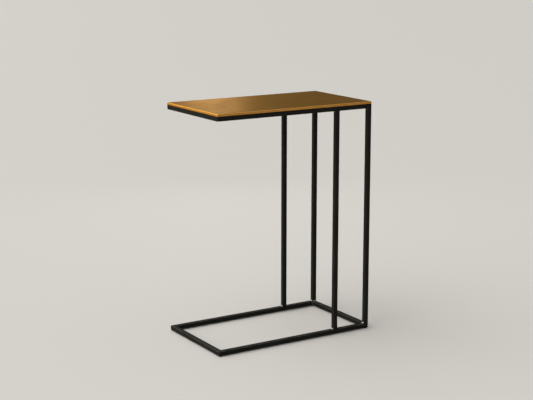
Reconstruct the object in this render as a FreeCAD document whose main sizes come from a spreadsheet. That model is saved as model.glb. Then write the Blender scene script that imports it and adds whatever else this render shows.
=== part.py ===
import FreeCAD, Part
import os
import Sketcher

# C-shaped side table: a welded frame of square steel tube that stands on four glides and carries a
# thin brass top. The base rectangle and the top rectangle are mitred. Four posts join them at one
# end, two at the corners and two a little way in, so the other end is open and slides over a seat.
#
# Millimetres. X runs along the table, from the open end (-X) to the posts (+X). Y runs across it,
# from the near side (-Y) to the far side (+Y). Z is up, and the origin is on the floor below the
# middle of the top.

doc = FreeCAD.newDocument("c_shaped_side_table")

# Driving sizes, one named cell each.
driving_sizes = {
    "table_length": 460,
    "table_width": 260,
    "table_height": 612,
    "tube_size": 12,
    "tube_wall": 1.2,
    "tube_corner_radius": 1.5,
    "post_spacing": 100,
    "plate_thickness": 6,
    "plate_corner_radius": 2,
    "plate_arris_radius": 2,
    "weld_leg": 3,
    "weld_face_radius": 4,
    "tab_length": 30,
    "tab_reach": 18,
    "tab_thickness": 3,
    "tab_corner_radius": 4,
    "tab_hole_reach": 10,
    "tab_hole_diameter": 4.5,
    "screw_diameter": 4,
    "screw_length": 6,
    "screw_head_diameter": 8,
    "screw_head_height": 3,
    "screw_head_chamfer": 1.2,
    "thread_hole_diameter": 4.1,
    "thread_hole_depth": 4,
    "glide_diameter": 10,
    "glide_height": 2,
    "glide_chamfer": 0.6,
}
sizes = doc.addObject("Spreadsheet::Sheet", "Sizes")
for row, (alias, number) in enumerate(driving_sizes.items(), start=1):
    sizes.set(f"A{row}", alias)
    sizes.set(f"B{row}", str(number))
    sizes.setAlias(f"B{row}", alias)
doc.recompute()

# Places worked out from the driving sizes, as formulas for the expressions below.
half_length = "(Sizes.table_length / 2)"
half_width = "(Sizes.table_width / 2)"
half_tube = "(Sizes.tube_size / 2)"
rail_x = "(Sizes.table_length / 2 - Sizes.tube_size / 2)"
rail_y = "(Sizes.table_width / 2 - Sizes.tube_size / 2)"
mid_post_x = "(Sizes.table_length / 2 - Sizes.tube_size / 2 - Sizes.post_spacing)"
base_top = "(Sizes.glide_height + Sizes.tube_size)"
plate_bottom = "(Sizes.table_height - Sizes.plate_thickness)"
top_frame_bottom = "(Sizes.table_height - Sizes.plate_thickness - Sizes.tube_size)"
tube_flat = "(Sizes.tube_size - 2 * Sizes.tube_corner_radius)"
tab_x = "(Sizes.table_length / 2 - Sizes.tube_size / 2 - Sizes.post_spacing / 2)"
tab_y = "(Sizes.table_width / 2 - Sizes.tube_size)"
screw_y = "(Sizes.table_width / 2 - Sizes.tube_size - Sizes.tab_hole_reach)"

sub_parts = []


def number_of(formula):
    return float(sizes.evalExpression(formula))


def origin_feature(body, role):
    for feature in body.Origin.OriginFeatures:
        if feature.Role == role:
            return feature


def new_sub_part(label):
    body = doc.addObject("PartDesign::Body", label)
    body.Label = label
    sub_parts.append(body)
    return body


def place(body, x="0", y="0", z="0", turn=0, axis=(0, 0, 1)):
    body.Placement = FreeCAD.Placement(FreeCAD.Vector(), FreeCAD.Rotation(FreeCAD.Vector(*axis), turn))
    for direction, formula in (("x", x), ("y", y), ("z", z)):
        body.setExpression(f"Placement.Base.{direction}", formula)


def new_sketch(body, name, plane, across="0", above="0"):
    """Sketch on a plane of the body's own origin, moved across that plane and above it."""
    sketch = body.newObject("Sketcher::SketchObject", name)
    sketch.AttachmentSupport = (origin_feature(body, plane), [""])
    sketch.MapMode = "FlatFace"
    sketch.setExpression("AttachmentOffset.Base.x", across)
    sketch.setExpression("AttachmentOffset.Base.z", above)
    return sketch


def hold_point(sketch, geometry, end, across, along):
    """Hold one point of the sketch by the formulas of its distances from the origin."""
    point = sketch.getPoint(geometry, end)
    for kind, value, formula in (("DistanceX", point.x, across), ("DistanceY", point.y, along)):
        held = sketch.addConstraint(Sketcher.Constraint(kind, -1, 1, geometry, end, value))
        sketch.setExpression(f"Constraints[{held}]", formula)


def add_outline(sketch, corners):
    """Closed outline of straight lines between corners that are given as formulas."""
    points = [FreeCAD.Vector(number_of(across), number_of(along), 0) for across, along in corners]
    lines = [sketch.addGeometry(Part.LineSegment(start, end))
             for start, end in zip(points, points[1:] + points[:1])]
    for line, next_line, (across, along) in zip(lines, lines[1:] + lines[:1], corners):
        sketch.addConstraint(Sketcher.Constraint("Coincident", line, 2, next_line, 1))
        hold_point(sketch, line, 1, across, along)


def add_bead_outline(sketch, across, along, leg_across, leg_along):
    """Section of a weld in the corner of two faces: two straight legs and a face that bulges."""
    foot, root, wall = [FreeCAD.Vector(number_of(x), number_of(y), 0) for x, y in (
        (f"{across} + {leg_across}", along), (across, along), (across, f"{along} + {leg_along}"))]
    chord = foot - wall
    radius = number_of("Sizes.weld_face_radius")
    bulge = radius - (radius ** 2 - (chord.Length / 2) ** 2) ** 0.5
    outwards = ((foot + wall) / 2 - root).normalize()
    first_leg = sketch.addGeometry(Part.LineSegment(foot, root))
    second_leg = sketch.addGeometry(Part.LineSegment(root, wall))
    face = sketch.addGeometry(Part.Arc(foot, (foot + wall) / 2 + outwards * bulge, wall))
    starts_at_foot = sketch.getPoint(face, 1).distanceToPoint(foot) < bulge
    foot_end, wall_end = (1, 2) if starts_at_foot else (2, 1)
    sketch.addConstraint([Sketcher.Constraint("Coincident", first_leg, 2, second_leg, 1),
                          Sketcher.Constraint("Coincident", first_leg, 1, face, foot_end),
                          Sketcher.Constraint("Coincident", second_leg, 2, face, wall_end)])
    hold_point(sketch, first_leg, 1, f"{across} + {leg_across}", along)
    hold_point(sketch, second_leg, 1, across, along)
    hold_point(sketch, second_leg, 2, across, f"{along} + {leg_along}")
    held = sketch.addConstraint(Sketcher.Constraint("Radius", face, radius))
    sketch.setExpression(f"Constraints[{held}]", "Sizes.weld_face_radius")


def add_rectangle(sketch, half_across, half_along):
    add_outline(sketch, [(f"-{half_across}", f"-{half_along}"), (half_across, f"-{half_along}"),
                         (half_across, half_along), (f"-{half_across}", half_along)])


def add_circle(sketch, across, along, diameter):
    centre = FreeCAD.Vector(number_of(across), number_of(along), 0)
    radius = number_of(diameter) / 2
    circle = sketch.addGeometry(Part.Circle(centre, FreeCAD.Vector(0, 0, 1), radius))
    hold_point(sketch, circle, 3, across, along)
    held = sketch.addConstraint(Sketcher.Constraint("Diameter", circle, 2 * radius))
    sketch.setExpression(f"Constraints[{held}]", diameter)


def add_pad(body, sketch, length, both_sides=False):
    pad = body.newObject("PartDesign::Pad", f"{sketch.Name}_pad")
    pad.Profile = sketch
    pad.SideType = "Symmetric" if both_sides else "One side"
    pad.setExpression("Length", length)
    doc.recompute()
    return pad


def add_revolution(body, sketch):
    """Full turn of a profile about its sketch's own upright axis."""
    turned = body.newObject("PartDesign::Revolution", f"{sketch.Name}_turned")
    turned.Profile = sketch
    turned.ReferenceAxis = (sketch, ["V_Axis"])
    turned.Angle = 360
    doc.recompute()


def add_pocket(body, sketch, depth=None, upwards=False):
    """Cut to a depth, or right through both ways. A pocket that removes nothing is an error."""
    volume_before = body.Shape.Volume
    pocket = body.newObject("PartDesign::Pocket", f"{sketch.Name}_pocket")
    pocket.Profile = sketch
    pocket.Reversed = upwards
    if depth:
        pocket.setExpression("Length", depth)
    else:
        pocket.SideType = "Symmetric"
        pocket.Type = "ThroughAll"
    doc.recompute()
    if body.Shape.Volume >= volume_before:
        raise RuntimeError(f"{body.Label}: {pocket.Name} cuts nothing")
    return pocket


def add_mirror(body, plane, originals=None):
    """Mirror the named features, or the whole body where none are named."""
    mirror = body.newObject("PartDesign::Mirrored", f"{body.Name}_mirror")
    if originals:
        mirror.Originals = originals
    else:
        mirror.TransformMode = "Whole shape"
    mirror.MirrorPlane = (origin_feature(body, plane), [""])
    body.Tip = mirror
    doc.recompute()


def add_fillet(body, base, radius, is_rounded=None):
    """Round the edges that is_rounded picks, or all of them."""
    fillet = body.newObject("PartDesign::Fillet", f"{base.Name}_fillet")
    edges = [f"Edge{index}" for index, edge in enumerate(base.Shape.Edges, start=1)
             if is_rounded is None or is_rounded(edge)]
    fillet.Base = (base, edges)
    fillet.setExpression("Radius", radius)
    doc.recompute()
    return fillet


def is_upright(edge):
    """True for an edge that runs along Z."""
    size = edge.BoundBox
    return size.ZLength > 0.9 * edge.Length


def add_bore(body, plane):
    """The inside of a square tube, cut right through along the plane's normal."""
    bore = new_sketch(body, f"{body.Name}_bore", plane)
    half_bore = "(Sizes.tube_size / 2 - Sizes.tube_wall)"
    add_rectangle(bore, half_bore, half_bore)
    add_pocket(body, bore)


def mitred_rail(label, length, x, y, z, turn):
    """Tube along its own X, with its outer side at -Y. The bar is rounded on all its edges first, so
    that the 45 degree cuts leave each frame corner rounded evenly from one rail to the next."""
    body = new_sub_part(label)
    section = new_sketch(body, f"{label}_section", "YZ_Plane")
    add_rectangle(section, half_tube, half_tube)
    bar = add_pad(body, section, length, both_sides=True)
    add_fillet(body, bar, "Sizes.tube_corner_radius")
    add_bore(body, "YZ_Plane")
    # The waste is a triangle that stands one tube width clear of the end and of both sides.
    waste = new_sketch(body, f"{label}_mitre", "XY_Plane")
    outer_end = f"({length} / 2 + Sizes.tube_size)"
    outer_y = "(-Sizes.tube_size * 3 / 2)"
    inner_x = f"({length} / 2 - 2 * Sizes.tube_size)"
    inner_y = "(Sizes.tube_size * 3 / 2)"
    add_outline(waste, [(outer_end, outer_y), (outer_end, inner_y), (inner_x, inner_y)])
    mitre = add_pocket(body, waste)
    add_mirror(body, "YZ_Plane", [mitre])
    place(body, x, y, z, turn)


def post(label, x, y):
    """Tube that stands on the base rail and carries the top rail."""
    body = new_sub_part(label)
    section = new_sketch(body, f"{label}_section", "XY_Plane")
    add_rectangle(section, half_tube, half_tube)
    bar = add_pad(body, section, f"{top_frame_bottom} - {base_top}")
    add_fillet(body, bar, "Sizes.tube_corner_radius", is_upright)
    add_bore(body, "XY_Plane")
    place(body, x, y, base_top)


def frame_corner_welds(label, z):
    """Upright beads in the four inner corners of a mitred rectangle."""
    body = new_sub_part(label)
    bead = new_sketch(body, f"{label}_bead", "XY_Plane")
    add_bead_outline(bead, f"({half_length} - Sizes.tube_size)", f"({half_width} - Sizes.tube_size)",
                     "-Sizes.weld_leg", "-Sizes.weld_leg")
    add_pad(body, bead, tube_flat, both_sides=True)
    add_mirror(body, "XZ_Plane")
    add_mirror(body, "YZ_Plane")
    place(body, z=z)


def post_welds(label, z, turn):
    """Fillet beads that join the post ends to the rails. They are drawn as at the posts' feet, with
    the rail's face at Z = 0, and a half turn about X puts them at the heads."""
    body = new_sub_part(label)
    along_table = new_sketch(body, f"{label}_along", "XZ_Plane", above=rail_y)
    for post_x, side in ((mid_post_x, "-"), (mid_post_x, ""), (rail_x, "-")):
        add_bead_outline(along_table, f"({post_x} + {side}{half_tube})", "0",
                         f"{side}Sizes.weld_leg", "Sizes.weld_leg")
    add_pad(body, along_table, tube_flat, both_sides=True)
    across_table = new_sketch(body, f"{label}_across", "YZ_Plane", above=rail_x)
    add_bead_outline(across_table, f"({half_tube} - {rail_y})", "0",
                     "Sizes.weld_leg", "Sizes.weld_leg")
    add_pad(body, across_table, tube_flat, both_sides=True)
    add_mirror(body, "XZ_Plane")
    place(body, z=z, turn=turn, axis=(1, 0, 0))


def fixing_tab(label, x, y, turn):
    """Flat plate welded inside a top rail, level with the rail's top, for one screw."""
    body = new_sub_part(label)
    half_tab = "(Sizes.tab_length / 2)"
    outline = new_sketch(body, f"{label}_outline", "XY_Plane")
    add_outline(outline, [(f"-{half_tab}", "0"), (half_tab, "0"), (half_tab, "Sizes.tab_reach"),
                          (f"-{half_tab}", "Sizes.tab_reach")])
    plate = add_pad(body, outline, "Sizes.tab_thickness")
    add_fillet(body, plate, "Sizes.tab_corner_radius",
               lambda edge: is_upright(edge) and edge.BoundBox.YMin > 0)
    hole = new_sketch(body, f"{label}_hole", "XY_Plane")
    add_circle(hole, "0", "Sizes.tab_hole_reach", "Sizes.tab_hole_diameter")
    add_pocket(body, hole)
    place(body, x, y, f"{plate_bottom} - Sizes.tab_thickness", turn)


def table_top():
    """Plate with rounded corners and a rounded top arris, tapped from below for the four screws."""
    body = new_sub_part("table_top")
    outline = new_sketch(body, "table_top_outline", "XY_Plane")
    add_rectangle(outline, half_length, half_width)
    plate = add_pad(body, outline, "Sizes.plate_thickness")
    rounded = add_fillet(body, plate, "Sizes.plate_corner_radius", is_upright)
    top_level = number_of("Sizes.plate_thickness")
    add_fillet(body, rounded, "Sizes.plate_arris_radius",
               lambda edge: abs(edge.BoundBox.ZMin - top_level) < 1e-6)
    holes = new_sketch(body, "table_top_holes", "XY_Plane")
    for x in (f"-{tab_x}", tab_x):
        for y in (f"-{screw_y}", screw_y):
            add_circle(holes, x, y, "Sizes.thread_hole_diameter")
    add_pocket(body, holes, "Sizes.thread_hole_depth", upwards=True)
    place(body, z=plate_bottom)


def top_screws():
    """Four pan head screws. Z = 0 is where each head seats under its tab."""
    body = new_sub_part("top_screws")
    profile = new_sketch(body, "top_screws_profile", "XZ_Plane", across=tab_x, above=screw_y)
    head_radius = "(Sizes.screw_head_diameter / 2)"
    shank_radius = "(Sizes.screw_diameter / 2)"
    head_bottom = "(-Sizes.screw_head_height)"
    add_outline(profile, [("0", head_bottom),
                          (f"{head_radius} - Sizes.screw_head_chamfer", head_bottom),
                          (head_radius, f"{head_bottom} + Sizes.screw_head_chamfer"),
                          (head_radius, "0"), (shank_radius, "0"),
                          (shank_radius, "Sizes.screw_length"), ("0", "Sizes.screw_length")])
    add_revolution(body, profile)
    add_mirror(body, "XZ_Plane")
    add_mirror(body, "YZ_Plane")
    place(body, z=f"{plate_bottom} - Sizes.tab_thickness")


def glide(label, x, y):
    """Round pad under a base corner, with a chamfered lower edge."""
    body = new_sub_part(label)
    profile = new_sketch(body, f"{label}_profile", "XZ_Plane")
    radius = "(Sizes.glide_diameter / 2)"
    add_outline(profile, [("0", "0"), (f"{radius} - Sizes.glide_chamfer", "0"),
                          (radius, "Sizes.glide_chamfer"), (radius, "Sizes.glide_height"),
                          ("0", "Sizes.glide_height")])
    add_revolution(body, profile)
    place(body, x, y)


# Each rail's length, its centre and the turn that faces its outer side outwards.
rail_sides = {
    "near": ("Sizes.table_length", "0", f"-{rail_y}", 0),
    "far": ("Sizes.table_length", "0", rail_y, 180),
    "open_end": ("Sizes.table_width", f"-{rail_x}", "0", -90),
    "back": ("Sizes.table_width", rail_x, "0", 90),
}
frame_centres = {
    "base": f"(Sizes.glide_height + {half_tube})",
    "top": f"({top_frame_bottom} + {half_tube})",
}
for frame, centre_z in frame_centres.items():
    for side, (length, x, y, turn) in rail_sides.items():
        mitred_rail(f"{frame}_rail_{side}", length, x, y, centre_z, turn)
    frame_corner_welds(f"{frame}_corner_welds", centre_z)

for side, y in (("near", f"-{rail_y}"), ("far", rail_y)):
    post(f"post_{side}_mid", mid_post_x, y)
    post(f"post_{side}_back", rail_x, y)
post_welds("post_foot_welds", base_top, turn=0)
post_welds("post_head_welds", top_frame_bottom, turn=180)

for side, y, turn in (("near", f"-{tab_y}", 0), ("far", tab_y, 180)):
    fixing_tab(f"fixing_tab_{side}_open_end", f"-{tab_x}", y, turn)
    fixing_tab(f"fixing_tab_{side}_back", tab_x, y, turn)
table_top()
top_screws()

for side, y in (("near", f"-{rail_y}"), ("far", rail_y)):
    glide(f"glide_{side}_open_end", f"-{rail_x}", y)
    glide(f"glide_{side}_back", rail_x, y)

doc.recompute()
for item in doc.Objects:
    if "Invalid" in item.State or "Error" in item.State:
        raise RuntimeError(f"{item.Label} did not compute: {item.State}")
for body in sub_parts:
    if body.Shape.isNull() or not body.Shape.isValid():
        raise RuntimeError(f"{body.Label} has no valid shape")

os.makedirs("parts", exist_ok=True)
for body in sub_parts:
    body.Shape.exportStep(f"parts/{body.Label}.step")
    print(f"{body.Label}: {len(body.Shape.Solids)} solids, {body.Shape.Volume:.1f} mm3")
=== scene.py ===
import math
import bmesh
import bpy
import numpy as np
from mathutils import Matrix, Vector


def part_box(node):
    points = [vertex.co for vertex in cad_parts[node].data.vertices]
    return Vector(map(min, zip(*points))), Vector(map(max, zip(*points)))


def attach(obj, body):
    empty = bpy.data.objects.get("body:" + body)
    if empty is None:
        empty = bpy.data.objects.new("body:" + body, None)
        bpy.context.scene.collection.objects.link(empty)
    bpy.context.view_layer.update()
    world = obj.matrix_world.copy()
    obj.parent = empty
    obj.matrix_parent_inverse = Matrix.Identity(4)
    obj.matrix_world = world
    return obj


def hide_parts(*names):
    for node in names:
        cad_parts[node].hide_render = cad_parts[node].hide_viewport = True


# C shaped side table: a welded frame of square tube, its brass top and the small fittings.
# Metres, +X towards the posts, +Y to the far side, +Z up.

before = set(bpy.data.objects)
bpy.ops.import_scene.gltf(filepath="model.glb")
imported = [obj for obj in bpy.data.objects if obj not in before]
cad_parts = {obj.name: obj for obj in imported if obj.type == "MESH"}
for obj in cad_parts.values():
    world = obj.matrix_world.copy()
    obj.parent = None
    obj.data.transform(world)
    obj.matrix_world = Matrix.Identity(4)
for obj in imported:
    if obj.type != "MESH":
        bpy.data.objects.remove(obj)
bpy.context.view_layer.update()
print("frame:", len(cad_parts), "nodes")


def boxOf(node):
    # a node's lowest and highest corners
    low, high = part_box(node)
    return np.array(low), np.array(high)


# meshes from arrays

meshing = {
    "mergeDistance": 1e-6,
    "sharpAngle": 38.0,        # degrees; flatter edges are shaded smooth
}


def gridFaces(rows, columns, wrap=False):
    # face (i, j) joins points (i, j), (i, j+1), (i+1, j+1) and (i+1, j); wrap closes the columns
    i = np.arange(rows - 1)[:, None] * columns
    j = np.arange(columns if wrap else columns - 1)[None, :]
    k = (j + 1) % columns
    return np.stack([i + j, i + k, i + columns + k, i + columns + j], -1).reshape(-1, 4)


def smoothStep(low, high, value):
    # 3t^2 - 2t^3 with t = (value - low) / (high - low), held between 0 and 1
    t = np.clip((value - low) / (high - low), 0, 1)
    return t * t * (3 - 2 * t)


class Surfaces:
    # collects grids of points and makes one piece of them. Each point has two marks from 0 to 1
    # for the materials: edge, on corners that get rubbed and on weld crests, partly painted
    # highlights and glints, and dull, where the finish is poorer
    def __init__(self):
        self.points, self.faces = [], []
        self.marks = {"edge": [], "dull": []}
        self.count = 0

    def add(self, points, wrap=False, closed=False, keep=None, **marks):
        # wrap joins the last column to the first, closed shuts both ends, keep picks the faces
        rows, columns = points.shape[:2]
        values = {name: np.broadcast_to(marks.get(name, 0.0), (rows, columns))
                  for name in self.marks}
        if closed:
            # a fan over each end: one more row, all at the middle of that end's ring
            middles = np.broadcast_to(points[[0, -1]].mean(axis=1)[:, None], (2, columns, 3))
            points = np.concatenate([middles[:1], points, middles[1:]])
            values = {name: np.pad(value, ((1, 1), (0, 0))) for name, value in values.items()}
            rows += 2
        faces = gridFaces(rows, columns, wrap)
        used = np.arange(rows * columns)
        if keep is not None:
            used, faces = np.unique(faces[keep], return_inverse=True)
        self.faces.append(faces.reshape(-1, 4) + self.count)
        for name, layers in self.marks.items():
            layers.append(values[name].ravel()[used])
        self.points.append(points.reshape(-1, 3)[used])
        self.count += len(used)

    def piece(self, name, material, slot, *replaced):
        mesh = bpy.data.meshes.new(name)
        mesh.from_pydata(np.concatenate(self.points).tolist(), [],
                         np.concatenate(self.faces).tolist())
        for label, values in self.marks.items():
            layer = mesh.attributes.new(label, "FLOAT", "POINT")
            layer.data.foreach_set("value", np.concatenate(values).astype(np.float32))
        shell = bmesh.new()
        shell.from_mesh(mesh)
        bmesh.ops.remove_doubles(shell, verts=shell.verts, dist=meshing["mergeDistance"])
        bmesh.ops.recalc_face_normals(shell, faces=shell.faces)
        shell.to_mesh(mesh)
        shell.free()
        mesh.shade_smooth()
        mesh.set_sharp_from_angle(angle=math.radians(meshing["sharpAngle"]))
        mesh.materials.append(material)
        made = bpy.data.objects.new(name, mesh)
        bpy.context.scene.collection.objects.link(made)
        even = made.modifiers.new("evenNormals", "WEIGHTED_NORMAL")
        even.keep_sharp = True
        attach(made, "root")
        if replaced:
            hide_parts(*replaced)
        return made


# shader helpers

def setInputs(tree, node, inputs):
    # inputs: socket name or number -> a value, or another node's output to link
    for name, value in (inputs or {}).items():
        if isinstance(value, bpy.types.NodeSocket):
            tree.links.new(value, node.inputs[name])
        else:
            node.inputs[name].default_value = value


def addNode(tree, kind, inputs=None, **settings):
    made = tree.nodes.new("ShaderNode" + kind)
    for name, value in settings.items():
        setattr(made, name, value)
    setInputs(tree, made, inputs)
    return made


def mathOf(tree, operation, first, second):
    return addNode(tree, "Math", {0: first, 1: second}, operation=operation).outputs[0]


def mixColour(tree, factor, first, second):
    # sockets 6 and 7 are the two colours
    return addNode(tree, "Mix", {0: factor, 6: first, 7: second}, data_type="RGBA").outputs[2]


def mixValue(tree, factor, first, second):
    # sockets 2 and 3 are the two numbers
    return addNode(tree, "Mix", {0: factor, 2: first, 3: second}).outputs[0]


def rangeOf(tree, value, fromRange, toRange=(0.0, 1.0)):
    # smooth step between the two ends
    return addNode(tree, "MapRange", {"Value": value, "From Min": fromRange[0],
                                      "From Max": fromRange[1], "To Min": toRange[0],
                                      "To Max": toRange[1]},
                   interpolation_type="SMOOTHSTEP").outputs[0]


def noiseOf(tree, scale, detail=3.0, roughness=0.55, stretch=None, turn=0.0):
    # noise in the object's own space, turned about Z and then stretched if asked
    place = addNode(tree, "TexCoord").outputs["Object"]
    if turn:
        place = addNode(tree, "Mapping", {"Vector": place, "Rotation": (0, 0, turn)}).outputs[0]
    if stretch:
        place = addNode(tree, "Mapping", {"Vector": place, "Scale": stretch}).outputs[0]
    return addNode(tree, "TexNoise", {"Vector": place, "Scale": scale, "Detail": detail,
                                      "Roughness": roughness}).outputs["Fac"]


def markOf(tree, name):
    return addNode(tree, "Attribute", attribute_name=name).outputs["Fac"]


def newGroup(name, inputs, outputs):
    tree = bpy.data.node_groups.new(name, "ShaderNodeTree")
    for label, value in inputs.items():
        socket = tree.interface.new_socket(label, in_out="INPUT", socket_type="NodeSocketFloat")
        socket.default_value = value
    for label in outputs:
        tree.interface.new_socket(label, in_out="OUTPUT", socket_type="NodeSocketFloat")
    inlet, outlet = tree.nodes.new("NodeGroupInput"), tree.nodes.new("NodeGroupOutput")
    return tree, inlet.outputs, outlet.inputs


def useGroup(tree, group, inputs=None):
    made = tree.nodes.new("ShaderNodeGroup")
    made.node_tree = group
    setInputs(tree, made, inputs)
    return made.outputs


def newMaterial(name, **constants):
    # constants: shader socket names with _ for a space
    material = bpy.data.materials.new(name)
    material.use_nodes = True
    tree = material.node_tree
    shader = tree.nodes["Principled BSDF"]
    for label, value in constants.items():
        shader.inputs[label.replace("_", " ")].default_value = value
    return material, tree, shader


def finishWith(tree, shader, colour, roughness, height, depth):
    tree.links.new(colour, shader.inputs["Base Color"])
    tree.links.new(roughness, shader.inputs["Roughness"])
    bump = addNode(tree, "Bump", {"Height": height, "Distance": depth, "Strength": 1.0})
    tree.links.new(bump.outputs["Normal"], shader.inputs["Normal"])


# effects that several materials share

wearing = {
    "limit": 0.75,             # less the amount: the edge mark times noise has to pass it
    "softness": 0.3,
}

brushed = {
    "hairlineStretch": (40, 1500, 1500),    # noise cells per metre
    "scratchStretch": (12, 420, 420),
    "scratchTurn": 0.35,       # radians off the hairlines
    "scratchRange": (0.68, 0.76),
}


def makeSkin():
    # the fine bumps of a sprayed, moulded or plated skin, and slow clouds that change its shine
    tree, inlet, outlet = newGroup("skin", {"Grain Scale": 900.0, "Cloud Scale": 22.0},
                                   ["Grain", "Cloud"])
    tree.links.new(noiseOf(tree, inlet["Grain Scale"], detail=2.0), outlet["Grain"])
    tree.links.new(noiseOf(tree, inlet["Cloud Scale"], detail=4.0, roughness=0.6),
                   outlet["Cloud"])
    return tree


def makeEdgeWearAndHighlight():
    # the edge mark broken up by noise: 1 where the finish is rubbed off, 0 where it is whole. Where
    # a material paints a highlight or a glint with it, 1 is where that is painted
    tree, inlet, outlet = newGroup("edgeWearAndHighlight", {"Edge": 0.0, "Amount": 0.5, "Scale": 160.0},
                                   ["Worn"])
    broken = noiseOf(tree, inlet["Scale"], detail=5.0, roughness=0.65)
    patchy = mathOf(tree, "MULTIPLY", inlet["Edge"], broken)
    limit = mathOf(tree, "SUBTRACT", wearing["limit"], inlet["Amount"])
    wornAndHighlit = mathOf(tree, "SUBTRACT", patchy, limit)
    tree.links.new(rangeOf(tree, wornAndHighlit, (0.0, wearing["softness"])), outlet["Worn"])
    return tree


def makeBrushing():
    # hairlines along X, and single deeper scratches that cross them at a slant
    tree, inlet, outlet = newGroup("brushing", {"Fineness": 1.0}, ["Hairline", "Scratch"])
    hairline = noiseOf(tree, inlet["Fineness"], detail=2.0, roughness=0.5,
                       stretch=brushed["hairlineStretch"])
    slanted = noiseOf(tree, inlet["Fineness"], detail=2.0, roughness=0.5,
                      stretch=brushed["scratchStretch"], turn=brushed["scratchTurn"])
    tree.links.new(hairline, outlet["Hairline"])
    tree.links.new(rangeOf(tree, slanted, brushed["scratchRange"]), outlet["Scratch"])
    return tree


skin = makeSkin()
edgeWearAndHighlight = makeEdgeWearAndHighlight()
brushing = makeBrushing()


# materials. A value that ends in Range says where a noise starts and ends its change

blackCoat = {
    "colour": (0.0105, 0.0106, 0.0086, 1),
    "cloudColour": (0.0150, 0.0150, 0.0122, 1),
    "cloudRange": (0.35, 0.7),
    "grainHighlightColour": (0.0300, 0.0298, 0.0260, 1),    # a painted highlight on the tops of the fine bumps
    "grainHighlightRange": (0.46, 0.68),
    "grainHighlightAmount": 0.5,
    # lighter rubbed arrises: partly real wear, partly a painted highlight along the arris
    "rubbedAndHighlightColour": (0.11, 0.107, 0.098, 1),
    "rubbedAndHighlightAmount": 0.38,
    "roughness": (0.52, 0.64),
    "roughRange": (0.3, 0.75),
    "rubbedRoughness": 0.34,
    "specular": 0.03,
    "filedScale": 260.0,
    "filedHeight": 2.2,        # of the coarse unevenness near the welds, against the grain's
    "grainDepth": 0.000045,
}


def makeBlackCoat(values):
    material, tree, shader = newMaterial("satinBlackCoat", Specular_IOR_Level=values["specular"])
    coat = useGroup(tree, skin)
    wornAndHighlit = useGroup(tree, edgeWearAndHighlight, {"Edge": markOf(tree, "edge"),
                                     "Amount": values["rubbedAndHighlightAmount"]})["Worn"]
    cloud = rangeOf(tree, coat["Cloud"], values["cloudRange"])
    # painted highlight: lighter colour on the tops of the grain
    grainHighlight = rangeOf(tree, coat["Grain"], values["grainHighlightRange"], (0.0, values["grainHighlightAmount"]))
    colour = mixColour(tree, cloud, values["colour"], values["cloudColour"])
    colour = mixColour(tree, grainHighlight, colour, values["grainHighlightColour"])
    # the rubbed arrises take the lighter colour, partly a painted highlight
    colour = mixColour(tree, wornAndHighlit, colour, values["rubbedAndHighlightColour"])
    rough = rangeOf(tree, coat["Cloud"], values["roughRange"], values["roughness"])
    rough = mixValue(tree, wornAndHighlit, rough, values["rubbedRoughness"])
    # the dull mark is where the tube was filed and painted over, near the welds
    uneven = noiseOf(tree, values["filedScale"], detail=3.0, roughness=0.6)
    filed = mathOf(tree, "MULTIPLY", uneven, markOf(tree, "dull"))
    filed = mathOf(tree, "MULTIPLY", filed, values["filedHeight"])
    height = mathOf(tree, "ADD", coat["Grain"], filed)
    finishWith(tree, shader, colour, rough, height, values["grainDepth"])
    return material


weldCoat = {
    "colour": (0.016, 0.0155, 0.015, 1),
    "specular": 0.4,
    "glintSteelColour": (0.50, 0.495, 0.485, 1),
    "glintSteelAmount": 0.58,
    "glintSteelScale": 420.0,
    "roughness": 0.34,
    "glintSteelRoughness": 0.30,
    "grainScale": 1800.0,
    "grainDepth": 0.000020,
}


def makeWeldCoat(values):
    # paint on the beads with bare steel on the crests; the steel is a painted glint, brightest at
    # the post feet
    material, tree, shader = newMaterial("weldCoat", Specular_IOR_Level=values["specular"])
    coat = useGroup(tree, skin, {"Grain Scale": values["grainScale"]})
    glintSteel = useGroup(tree, edgeWearAndHighlight, {"Edge": markOf(tree, "edge"), "Scale": values["glintSteelScale"],
                                     "Amount": values["glintSteelAmount"]})["Worn"]
    colour = mixColour(tree, glintSteel, values["colour"], values["glintSteelColour"])
    tree.links.new(glintSteel, shader.inputs["Metallic"])
    rough = mixValue(tree, glintSteel, values["roughness"], values["glintSteelRoughness"])
    finishWith(tree, shader, colour, rough, coat["Grain"], values["grainDepth"])
    return material


agedBrass = {
    "colour": (0.370, 0.225, 0.088, 1),
    "darkColour": (0.225, 0.132, 0.052, 1),
    # for scratches, and for the polished arris, where it is partly a painted highlight
    "brightColour": (0.95, 0.50, 0.135, 1),
    # the sides, a brighter and more saturated orange than the face: a painted reflection of warm
    # light
    "sideColour": (0.60, 0.275, 0.058, 1),
    "rawColour": (0.33, 0.185, 0.070, 1),     # underneath, where nobody polished it
    "rawStain": (0.22, 0.125, 0.056, 1),
    "rawStainScale": 34.0,
    "rawStainRange": (0.42, 0.68),
    "edgeTint": (0.63, 0.408, 0.176, 1),      # what it mirrors at a low angle
    "cloudScale": 17.0,
    "cloudRange": (0.36, 0.68),
    "patina": 0.30,            # how far stains, specks and scratches take on their colour
    "specks": 0.45,
    "speckScale": 230.0,
    "speckRange": (0.58, 0.72),
    "speckRoughness": 0.2,     # added where a speck is whole
    "scratches": 0.20,
    # the polished arris: partly real polish, partly a painted highlight
    "polishAndHighlightAmount": 0.62,
    "polishAndHighlightScale": 90.0,
    "roughness": (0.39, 0.45),
    "edgeRoughness": 0.34,
    "rawRoughness": 0.56,
    "hairlineDepth": 0.000007,
}


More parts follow.
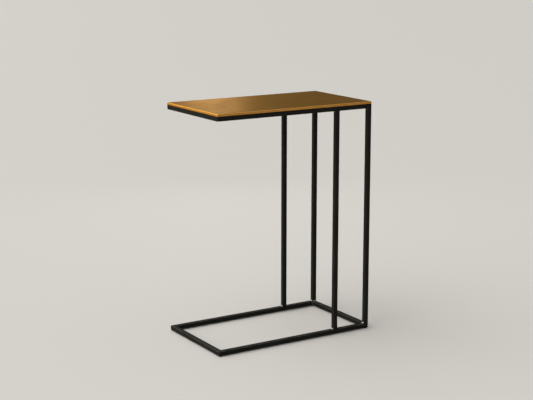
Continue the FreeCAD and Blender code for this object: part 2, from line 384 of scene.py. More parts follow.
def makeAgedBrass(values):
    material, tree, shader = newMaterial("agedBrass", Metallic=1.0,
                                         Specular_Tint=values["edgeTint"])
    lines = useGroup(tree, brushing)
    # the dull mark is 0 on the upper face, 0.5 on the sides and 1 underneath
    side = rangeOf(tree, markOf(tree, "dull"), (0.0, 0.5))
    raw = rangeOf(tree, markOf(tree, "dull"), (0.5, 1.0))
    polishAndHighlight = useGroup(tree, edgeWearAndHighlight, {"Edge": markOf(tree, "edge"),
                                         "Amount": values["polishAndHighlightAmount"],
                                         "Scale": values["polishAndHighlightScale"]})["Worn"]
    cloud = noiseOf(tree, values["cloudScale"], detail=7.0, roughness=0.62)
    stain = rangeOf(tree, cloud, values["cloudRange"], (0.0, values["patina"]))
    speck = rangeOf(tree, noiseOf(tree, values["speckScale"], detail=4.0, roughness=0.6),
                    values["speckRange"], (0.0, values["specks"]))
    scratch = mathOf(tree, "MULTIPLY", lines["Scratch"], values["scratches"])
    colour = mixColour(tree, stain, values["colour"], values["darkColour"])
    colour = mixColour(tree, speck, colour, values["darkColour"])
    colour = mixColour(tree, scratch, colour, values["brightColour"])
    rawStain = rangeOf(tree, noiseOf(tree, values["rawStainScale"], detail=7.0, roughness=0.66),
                       values["rawStainRange"])
    rawColour = mixColour(tree, rawStain, values["rawColour"], values["rawStain"])
    # the sides' own orange is a painted reflection
    colour = mixColour(tree, side, colour, values["sideColour"])
    colour = mixColour(tree, raw, colour, rawColour)
    # the polished arris in the bright colour, partly a painted highlight
    colour = mixColour(tree, polishAndHighlight, colour, values["brightColour"])
    rough = rangeOf(tree, cloud, values["cloudRange"], values["roughness"])
    rougher = mathOf(tree, "MULTIPLY", speck, values["speckRoughness"])
    rough = mathOf(tree, "ADD", rough, rougher)
    rough = mixValue(tree, raw, rough, values["rawRoughness"])
    rough = mixValue(tree, polishAndHighlight, rough, values["edgeRoughness"])
    height = mathOf(tree, "SUBTRACT", lines["Hairline"], lines["Scratch"])
    height = mathOf(tree, "SUBTRACT", height, speck)
    finishWith(tree, shader, colour, rough, height, values["hairlineDepth"])
    return material


zincPlate = {
    "colour": (0.56, 0.55, 0.53, 1),
    "dullColour": (0.34, 0.33, 0.32, 1),
    "brightColour": (0.74, 0.73, 0.70, 1),
    "cloudScale": 350.0,
    "wornScale": 700.0,
    "wornAmount": 0.5,
    "roughness": (0.28, 0.45),
    "roughRange": (0.3, 0.7),
    "grainScale": 2500.0,
    "grainDepth": 0.000006,
}


def makeZincPlate(values):
    material, tree, shader = newMaterial("zincPlate", Metallic=1.0)
    plating = useGroup(tree, skin, {"Grain Scale": values["grainScale"],
                                    "Cloud Scale": values["cloudScale"]})
    wornAndHighlit = useGroup(tree, edgeWearAndHighlight, {"Edge": markOf(tree, "edge"), "Scale": values["wornScale"],
                                     "Amount": values["wornAmount"]})["Worn"]
    colour = mixColour(tree, plating["Cloud"], values["colour"], values["dullColour"])
    colour = mixColour(tree, wornAndHighlit, colour, values["brightColour"])
    rough = rangeOf(tree, plating["Cloud"], values["roughRange"], values["roughness"])
    finishWith(tree, shader, colour, rough, plating["Grain"], values["grainDepth"])
    return material


softRubber = {
    "colour": (0.014, 0.014, 0.014, 1),
    "specular": 0.3,
    "dustColour": (0.055, 0.052, 0.048, 1),
    "dustRange": (0.45, 0.75),
    "dustAmount": 0.7,
    "cloudScale": 260.0,
    "roughness": (0.62, 0.80),
    "roughRange": (0.3, 0.7),
    "grainScale": 1800.0,
    "grainDepth": 0.000040,
}


def makeSoftRubber(values):
    material, tree, shader = newMaterial("softRubber", Specular_IOR_Level=values["specular"])
    rubber = useGroup(tree, skin, {"Grain Scale": values["grainScale"],
                                   "Cloud Scale": values["cloudScale"]})
    # the dull mark is the sole, which picks up dust
    dusty = rangeOf(tree, rubber["Cloud"], values["dustRange"], (0.0, values["dustAmount"]))
    dusty = mathOf(tree, "MULTIPLY", dusty, markOf(tree, "dull"))
    colour = mixColour(tree, dusty, values["colour"], values["dustColour"])
    rough = rangeOf(tree, rubber["Cloud"], values["roughRange"], values["roughness"])
    finishWith(tree, shader, colour, rough, rubber["Grain"], values["grainDepth"])
    return material


coatMaterial = makeBlackCoat(blackCoat)
weldMaterial = makeWeldCoat(weldCoat)
brassMaterial = makeAgedBrass(agedBrass)
zincMaterial = makeZincPlate(zincPlate)
rubberMaterial = makeSoftRubber(softRubber)
print("materials:", len(bpy.data.materials))


# square tube

tube = {
    "cornerRadius": 0.0015,
    "cornerSteps": 7,
    "mitreSteps": 6,
    "flatMargin": 0.0012,      # the edge mark fades out this far onto the flats
    "arrisMark": 0.35,         # edge mark where a round begins; it is 1 at the middle
    "mitreMark": 0.9,
    "filedReach": 0.014,       # how far the filing runs from a joint
    "jointStations": (0.0015, 0.004, 0.009, 0.018),
    # strength of the edge mark on each part, partly real wear and partly a painted highlight, most
    # on the base rails
    "wearAndHighlight": {"base": 1.12, "top": 0.78, "post": 0.72},
}


def tubeSection(size):
    # rounded square: corner k's points are its core corner + radius (cos a, sin a), with a over
    # that corner's quarter turn, and one more point on each flat beside it
    radius, steps = tube["cornerRadius"], tube["cornerSteps"]
    core = size / 2 - radius
    quarter = np.linspace(0, np.pi / 2, steps + 1)
    turn = np.arange(4)[:, None] * np.pi / 2
    angle = turn + np.r_[0, quarter, np.pi / 2]
    slide = np.r_[-1, np.zeros(steps + 1), 1] * tube["flatMargin"]
    coreAngle = turn + np.pi / 4
    across = core * np.sqrt(2) * np.cos(coreAngle) + radius * np.cos(angle) - slide * np.sin(angle)
    upward = core * np.sqrt(2) * np.sin(coreAngle) + radius * np.sin(angle) + slide * np.cos(angle)
    least = tube["arrisMark"]
    edge = np.r_[0, least + (1 - least) * np.sin(2 * quarter), 0]
    return across.ravel(), upward.ravel(), np.broadcast_to(edge, angle.shape).ravel()


def frameHalf(along):
    # half the outer length of a rectangle of rails, the same as the top's
    low, high = boxOf("table_top")
    return abs((high - low) @ along) / 2


def mitredRail(node, outward, along, wearAndHighlight):
    # Section point (p, q), p outwards and q up, at station x along the rail:
    #   place = centre + p outward + q up + x along
    # The mitre ends each point at x = half - (size / 2 - p). Points beyond the core, p > c,
    # turn about it to the mitre, with w from 0 to 45 degrees:
    #   x = half - r + (p - c) sin w, p' = c + (p - c) cos w
    low, high = boxOf(node)
    centre = (low + high) / 2
    outward, along = np.array(outward, float), np.array(along, float)
    size = high[2] - low[2]
    half = frameHalf(along)
    radius = tube["cornerRadius"]
    p, q, edge = tubeSection(size)
    core = size / 2 - radius
    beyond = np.maximum(p - core, 0)
    share = np.linspace(0, 1, tube["mitreSteps"] + 1)[:, None]
    turn = share * np.pi / 4
    straightEnd = half - (size / 2 - np.minimum(p, core))
    mitreX = np.where(p > core, half - radius + beyond * np.sin(turn),
                      straightEnd - radius * (1 - share))
    mitreP = np.minimum(p, core) + beyond * np.cos(turn)
    reach = np.array(tube["jointStations"])[::-1, None]
    innerX = np.broadcast_to(half - size - reach, (len(reach), len(p)))
    halfX = np.concatenate([innerX, mitreX])
    halfP = np.concatenate([np.broadcast_to(p, innerX.shape), mitreP])
    x = np.concatenate([-halfX[::-1], halfX])
    sideways = np.concatenate([halfP[::-1], halfP])
    points = (centre + sideways[..., None] * outward + x[..., None] * along
              + q[:, None] * np.array([0, 0, 1.0]))
    cornerEdge = np.where(beyond > 0, share, 0) * tube["mitreMark"]
    halfEdge = np.concatenate([np.broadcast_to(edge, innerX.shape), np.maximum(edge, cornerEdge)])
    filed = smoothStep(tube["filedReach"], 0, np.abs(halfX - (half - (size / 2 - halfP))))
    surfaces = Surfaces()
    surfaces.add(points, wrap=True, closed=True,
                 edge=wearAndHighlight * np.concatenate([halfEdge[::-1], halfEdge]),
                 dull=np.concatenate([filed[::-1], filed]))
    return surfaces.piece("tube_" + node, coatMaterial, "frame", node)


def post(node, atCorner, wearAndHighlight):
    # Section point (a, b) from the post's centre, a towards the back and b towards the outside.
    # Each end follows the rounded rail that it stands on: it drops by r - sqrt(r^2 - d^2), with d
    # how far the point lies past the flat of the rail.
    low, high = boxOf(node)
    centre = (low + high) / 2
    outside = np.sign(centre[1])
    size = high[0] - low[0]
    radius = tube["cornerRadius"]
    core = size / 2 - radius
    a, b, edge = tubeSection(size)
    if atCorner:
        # the frame is rounded along its two outer edges and in the inner corner of the rails
        outer = np.hypot(np.maximum(a - core, 0), np.maximum(b - core, 0))
        past = outer + np.maximum(-core - np.maximum(a, b), 0)
    else:
        past = np.maximum(np.abs(b) - core, 0)
    drop = radius - np.sqrt(np.maximum(radius ** 2 - np.minimum(past, radius) ** 2, 0))
    reach = np.r_[-1, tube["jointStations"]][:, None]
    fromEnd = np.where(reach < 0, -drop, reach)
    z = np.concatenate([low[2] + fromEnd, high[2] - fromEnd[::-1]])
    x = np.broadcast_to(centre[0] + a, z.shape)
    y = np.broadcast_to(centre[1] + outside * b, z.shape)
    filed = smoothStep(tube["filedReach"], 0, np.minimum(z - low[2], high[2] - z))
    surfaces = Surfaces()
    surfaces.add(np.stack([x, y, z], -1), wrap=True, closed=True,
                 edge=wearAndHighlight * edge[None, :], dull=filed)
    return surfaces.piece("tube_" + node, coatMaterial, "frame", node)


railDirections = {             # outwards from the frame, and along the rail
    "near": ((0, -1, 0), (1, 0, 0)),
    "far": ((0, 1, 0), (1, 0, 0)),
    "open_end": ((-1, 0, 0), (0, 1, 0)),
    "back": ((1, 0, 0), (0, 1, 0)),
}
for level in ("base", "top"):
    for place, (outward, along) in railDirections.items():
        mitredRail(f"{level}_rail_{place}", outward, along, tube["wearAndHighlight"][level])
for side in ("near", "far"):
    post(f"post_{side}_mid", False, tube["wearAndHighlight"]["post"])
    post(f"post_{side}_back", True, tube["wearAndHighlight"]["post"])
for name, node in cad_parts.items():
    if name.startswith("fixing_tab"):
        node.material_slots[0].material = coatMaterial
print("tubes and tabs done")


# weld beads

bead = {
    "steps": (96, 14),
    "ripplesPerMetre": 620.0,
    "rippleHeight": 0.065,
    "rippleFront": 0.6,         # 1 is an even ripple, less is steeper at its front
    "rippleLag": 0.75,          # the ripples' middles run ahead of their ends
    "rippleDrift": 0.14,        # how unevenly they follow each other
    "driftWaves": 2.3,
    "wander": 0.07,
    "wanderWaves": 1.6,
    "blunt": 6,                 # higher keeps the bead full nearer to its ends
    "flanks": 0.3,              # how much of the ripple and of the bare steel, a painted glint, is left there
    "hollows": 0.6,             # how much of the bare steel, a painted glint, is left between the crests
    "fullness": 1.30,           # 1 is a quarter round, 2 is flat
    "sunk": 0.00006,
    "startPerMetre": (37.1, 71.3, 13.7),    # so that no two beads start alike
    # how much painted glint, shown as bare steel on the crests, each group of beads gets
    "glintSteel": {"post_foot_welds": 1.0, "base_corner_welds": 0.50, "post_head_welds": 0.60,
             "top_corner_welds": 0.60, "tab_welds": 0.60},
    "tabLeg": 0.002,
    "tabLength": 0.024,
}


def rippledBead(surfaces, glintSteelShare, root, run, firstLeg, secondLeg, leg, length):
    # At s along the run and q across the face, both from 0 to 1:
    #   place = root + (s - 1/2) length run
    #         + R (cos q 90 deg)^fullness firstLeg + R (sin q 90 deg)^fullness secondLeg
    #   R = leg taper(s) wander(s) (1 - height middle(q) (1 - crest(t)))
    #   taper = sqrt(1 - |2s - 1|^blunt), crest = sin(180 deg t^front), which is one ripple
    #   t = frac(count s + lag sin(q 180 deg) + drift(s) + start)
    rows, columns = bead["steps"]
    s = np.linspace(0, 1, rows + 1)[:, None]
    q = np.linspace(0, 1, columns + 1)[None, :]
    start = np.dot(bead["startPerMetre"], root) % 1
    taper = np.sqrt(np.maximum(1 - np.abs(2 * s - 1) ** bead["blunt"], 0))
    across = np.sin(q * np.pi)
    wave = 0.5 + 0.5 * np.sin(2 * np.pi * (bead["wanderWaves"] * s + start))
    wander = 1 - bead["wander"] * wave
    drift = bead["rippleDrift"] * np.sin(2 * np.pi * (bead["driftWaves"] * s + 2 * start))
    count = bead["ripplesPerMetre"] * length
    ripple = (count * s + bead["rippleLag"] * across + drift + start) % 1
    crest = np.sin(np.pi * ripple ** bead["rippleFront"])
    middle = bead["flanks"] + (1 - bead["flanks"]) * across
    dip = bead["rippleHeight"] * (1 - crest) * middle
    size = leg * taper * wander * (1 - dip)
    first = size * np.cos(q * np.pi / 2) ** bead["fullness"]
    second = size * np.maximum(np.sin(q * np.pi / 2), 0) ** bead["fullness"]
    run, firstLeg, secondLeg = (np.array(v, float) for v in (run, firstLeg, secondLeg))
    spine = np.array(root) + (s * length - length / 2)[..., None] * run
    face = spine + first[..., None] * firstLeg + second[..., None] * secondLeg
    heel = spine - bead["sunk"] * (firstLeg + secondLeg) * taper[..., None]
    # bare steel on the crests: a painted glint
    glintSteel = glintSteelShare * (bead["hollows"] + (1 - bead["hollows"]) * crest) * middle * taper
    surfaces.add(np.concatenate([heel, face], axis=1), wrap=True, dull=1.0,
                 edge=np.concatenate([np.zeros_like(s), glintSteel], axis=1))


def postWelds(node, atFeet):
    # beads on the sides of each post that face along the rails it stands on
    low, high = boxOf(node)
    leg = high[2] - low[2]
    level, up = (low[2], 1.0) if atFeet else (high[2], -1.0)
    surfaces, glintSteelShare = Surfaces(), bead["glintSteel"][node]
    for side in ("near", "far"):
        for place in ("mid", "back"):
            postLow, postHigh = boxOf(f"post_{side}_{place}")
            centre = (postLow + postHigh) / 2
            length = postHigh[0] - postLow[0] - 2 * tube["cornerRadius"]
            inward = -np.sign(centre[1])
            rippledBead(surfaces, glintSteelShare, (postLow[0], centre[1], level), (0, 1, 0),
                        (-1, 0, 0), (0, 0, up), leg, length)
            if place == "mid":
                rippledBead(surfaces, glintSteelShare, (postHigh[0], centre[1], level), (0, 1, 0),
                            (1, 0, 0), (0, 0, up), leg, length)
            else:
                innerFace = postHigh[1] if inward > 0 else postLow[1]
                rippledBead(surfaces, glintSteelShare, (centre[0], innerFace, level), (1, 0, 0),
                            (0, inward, 0), (0, 0, up), leg, length)
    surfaces.piece(node + "_rippled", weldMaterial, "welds", node)


def cornerWelds(node):
    # upright beads in the four inner corners of a rectangle, as thick as those at the feet
    low, high = boxOf(node)
    footLow, footHigh = boxOf("post_foot_welds")
    leg, length = footHigh[2] - footLow[2], high[2] - low[2]
    middle = (low[2] + high[2]) / 2
    surfaces = Surfaces()
    for x in (low[0], high[0]):
        for y in (low[1], high[1]):
            rippledBead(surfaces, bead["glintSteel"][node], (x, y, middle), (0, 0, 1),
                        (-np.sign(x), 0, 0), (0, -np.sign(y), 0), leg, length)
    surfaces.piece(node + "_rippled", weldMaterial, "welds", node)


def tabWelds():
    # one bead under each tab, where it meets the rail
    surfaces = Surfaces()
    for side, outside in (("near", -1), ("far", 1)):
        for end in ("open_end", "back"):
            low, high = boxOf(f"fixing_tab_{side}_{end}")
            root = ((low[0] + high[0]) / 2, high[1] if outside > 0 else low[1], low[2])
            rippledBead(surfaces, bead["glintSteel"]["tab_welds"], root, (1, 0, 0), (0, -outside, 0),
                        (0, 0, -1), bead["tabLeg"], bead["tabLength"])
    surfaces.piece("tab_welds_rippled", weldMaterial, "welds")


postWelds("post_foot_welds", atFeet=True)
postWelds("post_head_welds", atFeet=False)
cornerWelds("base_corner_welds")
cornerWelds("top_corner_welds")
tabWelds()
print("welds done")


# screws

screw = {
    "headRadius": 0.004,
    "shankRadius": 0.002,
    "headSteps": 34,
    "turnSteps": 72,
    "threadSteps": 70,
    "pitch": 0.0007,
    "threadDepth": 0.00036,
    "tipTaper": 0.0008,
    "tipShare": 0.8,           # of the shank's radius, left at the tip
    "recessReach": 0.0023,
    "recessWidth": 0.0009,
    "recessDepth": 0.0016,
    "recessEnd": 0.0006,       # length over which a slot runs out
    "recessWall": 0.0002,      # width of its sloping wall
    "rimPlace": 0.93,          # the rubbed ring on the head, as shares of its radius
    "rimWidth": 0.06,
}


def screwPlaces():
    # the four heads stand in the corners of the node's box
    low, high = boxOf("top_screws")
    inset = screw["headRadius"]
    return [(x, y) for x in (low[0] + inset, high[0] - inset)
            for y in (low[1] + inset, high[1] - inset)]


def panScrew(surfaces, x, y, seat, headHeight, length):
    # Turned about the screw's axis, from the middle of the head up to the tip:
    #   head:  rho = R sin(w 90 deg), depth = H (1 - (rho / R)^6)^(1/3), less the cross recess
    #   shank: rho = S - d |2 frac(z / pitch - turn / 360 deg) - 1|, a helix
    headRadius, shankRadius = screw["headRadius"], screw["shankRadius"]
    turn = np.linspace(0, 2 * np.pi, screw["turnSteps"], endpoint=False)[None, :]
    w = np.linspace(0, 1, screw["headSteps"] + 1)[:, None]
    rho = headRadius * np.sin(w * np.pi / 2)
    depth = headHeight * np.maximum(1 - (rho / headRadius) ** 6, 0) ** (1 / 3)
    offAxis = np.minimum(np.abs(rho * np.cos(turn)), np.abs(rho * np.sin(turn)))
    halfWidth, halfWall = screw["recessWidth"] / 2, screw["recessWall"] / 2
    slot = smoothStep(halfWidth + halfWall, halfWidth - halfWall, offAxis)
    slot = slot * smoothStep(screw["recessReach"], screw["recessReach"] - screw["recessEnd"], rho)
    headZ = seat - depth + screw["recessDepth"] * slot
    headRho = np.broadcast_to(rho, headZ.shape)
    z = np.linspace(0, length, screw["threadSteps"] + 1)[:, None]
    taper = smoothStep(length, length - screw["tipTaper"], z)
    ridge = np.abs(2 * ((z / screw["pitch"] - turn / (2 * np.pi)) % 1) - 1)
    shankRho = shankRadius - screw["threadDepth"] * ridge
    shankRho = shankRho * (screw["tipShare"] + (1 - screw["tipShare"]) * taper)
    shankZ = np.broadcast_to(seat + z, shankRho.shape)
    tipRho = np.zeros((1, turn.size))
    allRho = np.concatenate([headRho, shankRho, tipRho])
    allZ = np.concatenate([headZ, shankZ, tipRho + seat + length])
    # rubbed on the rim and on the walls of the slots
    rim = np.exp(-((rho / headRadius - screw["rimPlace"]) / screw["rimWidth"]) ** 2)
    rim = rim + 4 * slot * (1 - slot)
    edge = np.concatenate([np.minimum(rim, 1), np.zeros((len(z) + 1, turn.size))])
    points = np.stack([x + allRho * np.cos(turn), y + allRho * np.sin(turn), allZ], -1)
    surfaces.add(points, wrap=True, edge=edge)


def allScrews():
    low, high = boxOf("top_screws")
    seat = boxOf("fixing_tab_near_back")[0][2]
    surfaces = Surfaces()
    for x, y in screwPlaces():
        panScrew(surfaces, x, y, seat, seat - low[2], high[2] - seat)
    surfaces.piece("pan_screws", zincMaterial, "screws", "top_screws")


allScrews()
print("screws done")


# brass top

topPlate = {
    "arris": 0.002,
    "lowerArris": 0.0004,
    "arrisSteps": 8,
    "lowerSteps": 3,
    "cornerSteps": 8,
    "cell": 0.005,
    "unevenness": 0.00005,
    "waveShares": (1.0, 0.6, 0.4),    # of the broad, the slanted and the short waves
    "waveTurns": ((31, 43), (67, 53), (118, 97)),    # radians per metre along X and along Y
    "waveStarts": ((1.3, -0.7), (0, 0), (-2.0, 0.5)),
    "evenMargin": 0.012,       # the waves die out this far from the edge
    # the rubbed band along the top's edge and its arris: partly real polish, partly a painted
    # highlight
    "rubbedAndLitMargin": 0.003,
    "rubbedAndLitTurn": 1.0,         # radians down the arris to where its lower part begins, less rubbed and with less painted highlight
    "rubbedAndLitMarks": (0.5, 0.3),    # least edge mark above that turn, and below it
    "sideMark": 0.5,           # dull mark of the sides; underneath it is 1
    "holeRadius": 0.00205,
    "holeDepth": 0.004,
    "holeBlock": 3,            # cells each way round a hole
    "holeShares": (0, 0.4, 0.7, 0.88, 1),    # rings from the grid to the hole
    "holeLip": 0.0002,
    "holeCone": 0.0008,
}


def unevenPlate(x, y):
    # The slow waves of a cast and hand-rubbed plate. With A = turn x + start and B = turn y + start:
    #   broad sin A cos B + slanted sin(A + B) + short cos A sin B
    # They add up to the sum of their shares at most, and that much is taken off, so that the face
    # is never above the plate's top.
    turns, starts = np.array(topPlate["waveTurns"]), np.array(topPlate["waveStarts"])
    alongX = [turn * x + start for turn, start in zip(turns[:, 0], starts[:, 0])]
    alongY = [turn * y + start for turn, start in zip(turns[:, 1], starts[:, 1])]
    broad, slanted, short = topPlate["waveShares"]
    waves = (broad * np.sin(alongX[0]) * np.cos(alongY[0])
             + slanted * np.sin(alongX[1] + alongY[1])
             + short * np.cos(alongX[2]) * np.sin(alongY[2]))
    most = broad + slanted + short
    return topPlate["unevenness"] * (waves - most) / most


def tappedHole(surfaces, sideX, sideY, x, y, level):
    # Rings between a square of grid lines and the hole: place = (1 - t) square + t circle, each
    # point at its own angle, then straight up the hole to a cone.
    reach = topPlate["holeBlock"]
    i, j = np.argmin(np.abs(sideX - x)), np.argmin(np.abs(sideY - y))
    spanX, spanY = sideX[i - reach:i + reach + 1], sideY[j - reach:j + reach + 1]
    squareX = np.r_[spanX[:-1], np.full(2 * reach, spanX[-1]), spanX[:0:-1],
                    np.full(2 * reach, spanX[0])]
    squareY = np.r_[np.full(2 * reach, spanY[0]), spanY[:-1], np.full(2 * reach, spanY[-1]),
                    spanY[:0:-1]]
    angle = np.arctan2(squareY - y, squareX - x)
    radius, depth = topPlate["holeRadius"], topPlate["holeDepth"]
    flat = topPlate["holeShares"]
    share = np.r_[flat, 1, 1, 1][:, None]
    shrink = np.r_[np.ones(len(flat)), 1, 1, 0][:, None]
    rise = np.r_[np.zeros(len(flat)), topPlate["holeLip"], depth - topPlate["holeCone"],
                 depth][:, None]
    ringX = (1 - share) * squareX + share * (x + radius * shrink * np.cos(angle))
    ringY = (1 - share) * squareY + share * (y + radius * shrink * np.sin(angle))
    surfaces.add(np.stack([ringX, ringY, np.broadcast_to(level + rise, ringX.shape)], -1),
                 wrap=True, dull=1.0)
    return spanX[0], spanX[-1], spanY[0], spanY[-1]


def plateOutline(sideX, sideY):
    # the core rectangle's outline, each point with the angle that it is pushed out at; a corner's
    # point is repeated through its quarter turn
    coreX, coreY = sideX[-1], sideY[-1]
    fan = np.linspace(0, np.pi / 2, topPlate["cornerSteps"] + 1)[1:-1]
    sides = [(sideX, np.full(len(sideX), -coreY), -np.pi / 2),
             (np.full(len(sideY), coreX), sideY, 0.0),
             (sideX[::-1], np.full(len(sideX), coreY), np.pi / 2),
             (np.full(len(sideY), -coreX), sideY[::-1], np.pi)]
    x = np.concatenate([np.r_[xs, np.full(len(fan), xs[-1])] for xs, ys, turn in sides])
    y = np.concatenate([np.r_[ys, np.full(len(fan), ys[-1])] for xs, ys, turn in sides])
    angle = np.concatenate([np.r_[np.full(len(xs), turn), turn + fan] for xs, ys, turn in sides])
    return x, y, angle


def plateRim(surfaces, sideX, sideY, low, high):
    # Rings round the core rectangle: a ring at turn t lies r sin t outside the core and
    # r (1 - cos t) below the top. The lower arris goes back in under the plate in the same way.
    radius, lower = topPlate["arris"], topPlate["lowerArris"]
    x, y, angle = plateOutline(sideX, sideY)
    upper = np.linspace(0, np.pi / 2, topPlate["arrisSteps"] + 1)
    under = np.linspace(0, np.pi / 2, topPlate["lowerSteps"] + 1)
    outwards = np.r_[radius * np.sin(upper), radius - lower * (1 - np.cos(under)), 0]
    level = np.r_[high[2] - radius * (1 - np.cos(upper)), low[2] + lower * (1 - np.sin(under)),
                  low[2]]
    # the arris is rubbed, and carries its painted highlight, most in its middle
    least = np.where(upper < topPlate["rubbedAndLitTurn"], *topPlate["rubbedAndLitMarks"])
    rubbedAndLit = least + (1 - least) * np.maximum(np.sin(upper * 2), 0) ** 0.5
    edge = np.r_[rubbedAndLit, np.full(len(under), topPlate["rubbedAndLitMarks"][1]), 0.0]
    # the sides begin at the last ring of the upper arris and turn raw along the lower one
    onSide, onLower = topPlate["sideMark"], len(under) - 1
    toRaw = np.r_[onSide, np.linspace(onSide, 1, onLower)]
    dull = np.r_[np.zeros(len(upper) - 1), onSide, toRaw, 1]
    ringX = x + outwards[:, None] * np.cos(angle)
    ringY = y + outwards[:, None] * np.sin(angle)
    ringZ = np.broadcast_to(level[:, None], ringX.shape)
    surfaces.add(np.stack([ringX, ringY, ringZ], -1), wrap=True, edge=edge[:, None],
                 dull=dull[:, None])


def brassTop():
    # an uneven upper face and a flat lower one on the same grid, which stops at tapped holes, and
    # the rim between them
    low, high = boxOf("table_top")
    coreX, coreY = high[0] - topPlate["arris"], high[1] - topPlate["arris"]
    cellsX, cellsY = round(2 * coreX / topPlate["cell"]), round(2 * coreY / topPlate["cell"])
    sideX = np.linspace(-coreX, coreX, cellsX + 1)
    sideY = np.linspace(-coreY, coreY, cellsY + 1)
    gridX, gridY = np.meshgrid(sideX, sideY, indexing="ij")
    inset = np.minimum(coreX - np.abs(gridX), coreY - np.abs(gridY))
    topZ = high[2] + unevenPlate(gridX, gridY) * smoothStep(0, topPlate["evenMargin"], inset)
    surfaces = Surfaces()
    # the face is rubbed near its edge, with a painted highlight there
    surfaces.add(np.stack([gridX, gridY, topZ], -1),
                 edge=topPlate["rubbedAndLitMarks"][0] * smoothStep(topPlate["rubbedAndLitMargin"], 0, inset))
    cellX, cellY = np.meshgrid((sideX[1:] + sideX[:-1]) / 2, (sideY[1:] + sideY[:-1]) / 2,
                               indexing="ij")
    solid = np.full(cellX.shape, True)
    for x, y in screwPlaces():
        x0, x1, y0, y1 = tappedHole(surfaces, sideX, sideY, x, y, low[2])
        solid &= ~((cellX > x0) & (cellX < x1) & (cellY > y0) & (cellY < y1))
    surfaces.add(np.stack([gridX, gridY, np.full_like(gridX, low[2])], -1), keep=solid.ravel(),
                 dull=1.0)
    plateRim(surfaces, sideX, sideY, low, high)
    return surfaces.piece("brass_top", brassMaterial, "table_top", "table_top")


brassTop()
print("top done")


# glides

glide = {
    "turnSteps": 64,
    "edge": 0.0007,
    "edgeSteps": 6,
    "soleSteps": 17,
    "groove": 0.00025,
    "groovePlace": 0.55,       # shares of the sole's radius
    "grooveWidth": 0.09,
    "dustyShare": 0.5,         # of the height, from the floor
}


def mouldedGlide(node):
    # profile (rho, z) turned about the axis: a sole with a shallow ring in it, a round lower edge
    # and a straight side
    low, high = boxOf(node)
    centre = (low + high) / 2
    radius, height, edge = (high[0] - low[0]) / 2, high[2] - low[2], glide["edge"]
    sole = np.linspace(0, 1, glide["soleSteps"] + 1)
    groove = glide["groove"] * np.exp(-((sole - glide["groovePlace"]) / glide["grooveWidth"]) ** 2)
    bend = np.linspace(0, np.pi / 2, glide["edgeSteps"] + 1)[1:]
    rho = np.r_[sole * (radius - edge), radius - edge + edge * np.sin(bend), radius, 0][:, None]
    z = np.r_[groove, edge * (1 - np.cos(bend)), height, height][:, None]
    turn = np.linspace(0, 2 * np.pi, glide["turnSteps"], endpoint=False)
    points = np.stack([centre[0] + rho * np.cos(turn), centre[1] + rho * np.sin(turn),
                       np.broadcast_to(low[2] + z, (len(z), len(turn)))], -1)
    surfaces = Surfaces()
    surfaces.add(points, wrap=True, dull=smoothStep(glide["dustyShare"] * height, 0, z))
    surfaces.piece("moulded_" + node, rubberMaterial, "glides", node)


for side in ("near", "far"):
    for end in ("open_end", "back"):
        mouldedGlide(f"glide_{side}_{end}")
print("glides done")


# floor, light and camera

studio = {
    "floorColour": (0.62, 0.607, 0.585, 1),
    "floorRoughness": 0.7,
    "floorHalf": 40.0,
    "wallColour": (1.0, 0.985, 0.96, 1),
    "lampColour": (1.0, 0.97, 0.93),
    "windowTurn": 25.0,        # degrees from +Y towards +X where the bright wall begins
    "windowSoftness": 12.0,
    "brightStrength": 0.75,
    "dimStrength": 0.09,
    "ceilingStrength": 0.60,
    "ceilingRise": (0.45, 0.95),    # sine of the height at which the ceiling begins and is whole
    "sunFrom": (-0.76, 0.26, 0.60),
    "sunAngle": 80.0,
    "sunStrength": 1.8,
    "stripPlace": (0.90, 1.90, 0.93),
    "stripSize": (0.22, 0.50),
    "stripPower": 1.6,
}


def makeFloor():
    half = studio["floorHalf"]
    mesh = bpy.data.meshes.new("floor")
    mesh.from_pydata([(-half, -half, 0), (half, -half, 0), (half, half, 0), (-half, half, 0)], [],
                     [(0, 1, 2, 3)])
    floor = bpy.data.objects.new("floor", mesh)
    bpy.context.scene.collection.objects.link(floor)
    paint = newMaterial("floorPaint", Base_Color=studio["floorColour"],
                        Roughness=studio["floorRoughness"])[0]
    mesh.materials.append(paint)


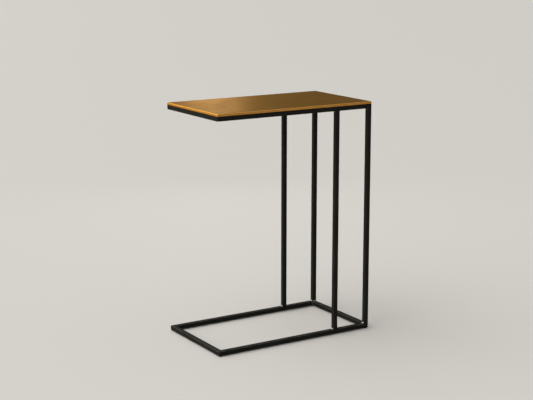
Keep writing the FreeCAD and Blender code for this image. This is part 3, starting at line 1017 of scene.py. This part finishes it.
def makeWorld():
    # a lit wall on the -X side and a dim one on the +X side, softly joined, and a ceiling
    world = bpy.data.worlds.new("studio")
    bpy.context.scene.world = world
    world.use_nodes = True
    tree = world.node_tree
    turn, softness = math.radians(studio["windowTurn"]), math.radians(studio["windowSoftness"])
    across = (-math.cos(turn), math.sin(turn), 0.0)
    direction = addNode(tree, "TexCoord").outputs["Generated"]
    towards = addNode(tree, "VectorMath", {0: direction, 1: across},
                      operation="DOT_PRODUCT").outputs["Value"]
    wall = rangeOf(tree, towards, (-softness, softness),
                   (studio["dimStrength"], studio["brightStrength"]))
    height = addNode(tree, "SeparateXYZ", {0: direction}).outputs["Z"]
    ceiling = rangeOf(tree, height, studio["ceilingRise"], (0.0, studio["ceilingStrength"]))
    background = tree.nodes["Background"]
    background.inputs["Color"].default_value = studio["wallColour"]
    tree.links.new(mathOf(tree, "ADD", wall, ceiling), background.inputs["Strength"])


def placeLamp(light, place, backwards):
    # a lamp shines along its own -Z, so its +Z is turned backwards, away from what it lights
    light.color = studio["lampColour"]
    lamp = bpy.data.objects.new(light.name, light)
    lamp.location = place
    lamp.rotation_euler = Vector(backwards).to_track_quat("Z", "Y").to_euler()
    bpy.context.scene.collection.objects.link(lamp)
    return lamp


def makeSun():
    light = bpy.data.lights.new("sun", "SUN")
    light.angle = math.radians(studio["sunAngle"])
    light.energy = studio["sunStrength"]
    placeLamp(light, (0, 0, 0), studio["sunFrom"])


def makeStrip():
    # a soft box behind the table, low down, that the top mirrors at its open end
    light = bpy.data.lights.new("strip", "AREA")
    light.shape = "RECTANGLE"
    light.size, light.size_y = studio["stripSize"]
    light.energy = studio["stripPower"]
    x, y, z = studio["stripPlace"]
    placeLamp(light, (x, y, z), (x, y, 0)).visible_camera = False


camera = {
    "aim": (-0.0071, 0.0045, 0.3531),
    "azimuth": -31.877,
    "elevation": 11.917,
    "distance": 3.374,
    "lens": 86.98,
    "clipEnd": 200.0,
}


def makeCamera():
    azimuth, elevation = math.radians(camera["azimuth"]), math.radians(camera["elevation"])
    level = math.cos(elevation)
    back = Vector((math.sin(azimuth) * level, -math.cos(azimuth) * level, math.sin(elevation)))
    data = bpy.data.cameras.new("camera")
    data.lens = camera["lens"]
    data.clip_end = camera["clipEnd"]
    seen = bpy.data.objects.new("camera", data)
    seen.location = Vector(camera["aim"]) + back * camera["distance"]
    seen.rotation_euler = (-back).to_track_quat("-Z", "Y").to_euler()
    bpy.context.scene.collection.objects.link(seen)
    bpy.context.scene.camera = seen


makeFloor()
makeWorld()
makeSun()
makeStrip()
makeCamera()
bpy.context.scene.view_settings.view_transform = "Standard"
print("studio done")
